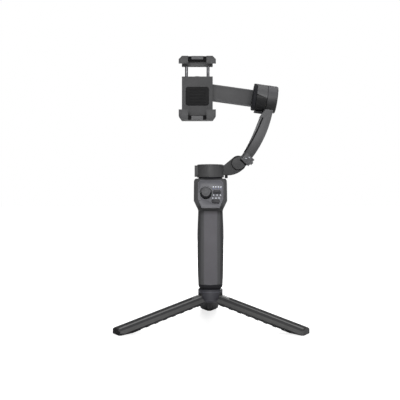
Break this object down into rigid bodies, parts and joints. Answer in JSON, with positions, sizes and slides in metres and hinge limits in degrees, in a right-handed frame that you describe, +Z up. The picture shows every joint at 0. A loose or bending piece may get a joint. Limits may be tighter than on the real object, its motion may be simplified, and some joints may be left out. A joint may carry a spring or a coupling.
{
  "type": "smartphone gimbal",
  "caption": "Handheld smartphone stabiliser with pan, tilt and roll motors, folding arm, spring clamp and control panel, standing on a folding mini tripod.",
  "frame": {"origin": "centre of the stand's outline on the ground that the feet rest on", "axes": "+Z up along the handle, -Y towards the user who faces the control panel, +X to the folding arm's side"},
  "size_m": [0.2394, 0.2075, 0.3465],
  "materials": {
    "casing_plastic": "matte moulded",
    "leg_plastic": "matte moulded",
    "hub_plastic": "satin moulded",
    "strip_plastic": "soft touch",
    "panel_plastic": "satin",
    "stick_plastic": "matte",
    "slider_plastic": "matte",
    "pad_rubber": "soft",
    "light_plastic": "clear print",
    "steel": "turned",
    "brass": "turned",
    "copper_winding": "enamelled wire",
    "magnet": "plated",
    "cell_wrap": "shrink wrap",
    "circuit_board": "lacquered"
  },
  "bodies": {
    "handle": {"tripod_hub": "hub_plastic", "tripod_stud": "steel", "hub_pad": "pad_rubber", "leg_pins": "steel", "bottom_cap": "hub_plastic", "tripod_insert": "brass", "handle_front_shell": "casing_plastic", "handle_rear_shell": "casing_plastic", "grip_strip": "strip_plastic", "handle_screws": "steel", "battery_cell": "cell_wrap", "main_board": "circuit_board", "usb_port": "steel", "control_panel": "panel_plastic", "panel_lights": "light_plastic", "joystick_base": "stick_plastic", "pan_base": "hub_plastic", "pan_stator": "copper_winding", "pan_bearings": "steel"},
    "leg_left_body": {"leg_left": "leg_plastic", "foot_left": "pad_rubber"},
    "leg_right_body": {"leg_right": "leg_plastic", "foot_right": "pad_rubber"},
    "leg_rear_body": {"leg_rear": "leg_plastic", "foot_rear": "pad_rubber"},
    "record_key": {"record_button": "panel_plastic"},
    "mode_key": {"mode_button": "panel_plastic"},
    "stick_cross": {"joystick_yoke": "steel"},
    "stick": {"joystick_cap": "stick_plastic"},
    "pan_turret": {"pan_shaft": "steel", "pan_magnets": "magnet", "pan_housing": "casing_plastic", "pan_lid": "casing_plastic", "pan_side_cover": "casing_plastic", "lower_link": "casing_plastic", "hinge_pin": "steel", "hinge_washers": "steel"},
    "folding_arm": {"upper_arm": "casing_plastic", "upper_arm_cover": "casing_plastic", "tilt_end_cap": "hub_plastic", "tilt_stator": "copper_winding", "tilt_bearings": "steel"},
    "lock": {"lock_slider": "slider_plastic"},
    "tilt_arm": {"tilt_housing_upper": "casing_plastic", "tilt_housing_lower": "casing_plastic", "tilt_magnets": "magnet", "tilt_shaft": "steel", "roll_arm": "casing_plastic", "roll_arm_cover": "casing_plastic", "roll_stator": "copper_winding", "roll_bearings": "steel"},
    "clamp": {"roll_rotor": "casing_plastic", "clamp_base": "casing_plastic", "back_pad": "pad_rubber", "lower_jaw_pad": "pad_rubber", "clamp_springs": "steel"},
    "jaw": {"upper_jaw": "casing_plastic", "upper_jaw_pad": "pad_rubber", "guide_rods": "steel"}
  },
  "joints": [
    {"name": "leg_left_fold", "type": "hinge", "parent": "handle", "child": "leg_left_body", "pos_m": [-0.00901, -0.03455, 0.0365], "axis": [0.5, -0.866, 0], "range_deg": [0, 74.9]},
    {"name": "leg_right_fold", "type": "hinge", "parent": "handle", "child": "leg_right_body", "pos_m": [0.00901, -0.03455, 0.0365], "axis": [0.5, 0.866, 0], "range_deg": [0, 74.9]},
    {"name": "leg_rear_fold", "type": "hinge", "parent": "handle", "child": "leg_rear_body", "pos_m": [0, -0.01895, 0.0365], "axis": [-1, 0, 0], "range_deg": [0, 74.9]},
    {"name": "record_press", "type": "slide", "parent": "handle", "child": "record_key", "axis": [0, 0.9848, -0.1736], "range_m": [0, 0.0006], "stiffness_N_per_m": 1500},
    {"name": "mode_press", "type": "slide", "parent": "handle", "child": "mode_key", "axis": [0, 0.9848, -0.1736], "range_m": [0, 0.0006], "stiffness_N_per_m": 1500},
    {"name": "stick_up_down", "type": "hinge", "parent": "handle", "child": "stick_cross", "pos_m": [-0.006, -0.04315, 0.17028], "axis": [1, 0, 0], "range_deg": [-12, 12], "stiffness_Nm_per_rad": 0.02},
    {"name": "stick_left_right", "type": "hinge", "parent": "stick_cross", "child": "stick", "pos_m": [-0.006, -0.04315, 0.17028], "axis": [0, 0.1736, 0.9848], "range_deg": [-12, 12], "stiffness_Nm_per_rad": 0.02},
    {"name": "pan", "type": "hinge", "parent": "handle", "child": "pan_turret", "pos_m": [0, -0.02935, 0.1913], "axis": [0, 0, 1], "range_deg": [-160, 160]},
    {"name": "arm_fold", "type": "hinge", "parent": "pan_turret", "child": "folding_arm", "pos_m": [0.036, -0.02935, 0.2094], "axis": [0, 1, 0], "range_deg": [0, 140]},
    {"name": "lock_slide", "type": "slide", "parent": "folding_arm", "child": "lock", "axis": [-0.7071, 0, -0.7071], "range_m": [0, 0.002]},
    {"name": "tilt", "type": "hinge", "parent": "folding_arm", "child": "tilt_arm", "pos_m": [0.073, -0.02935, 0.2935], "axis": [0.9903, 0, -0.1392], "range_deg": [-120, 120]},
    {"name": "roll", "type": "hinge", "parent": "tilt_arm", "child": "clamp", "pos_m": [-0.017, -0.02935, 0.30615], "axis": [0, 1, 0], "range_deg": [-160, 160]},
    {"name": "jaw_slide", "type": "slide", "parent": "clamp", "child": "jaw", "axis": [0, 0, 1], "range_m": [-0.012, 0.017], "deforming": ["clamp_springs"]}
  ]
}
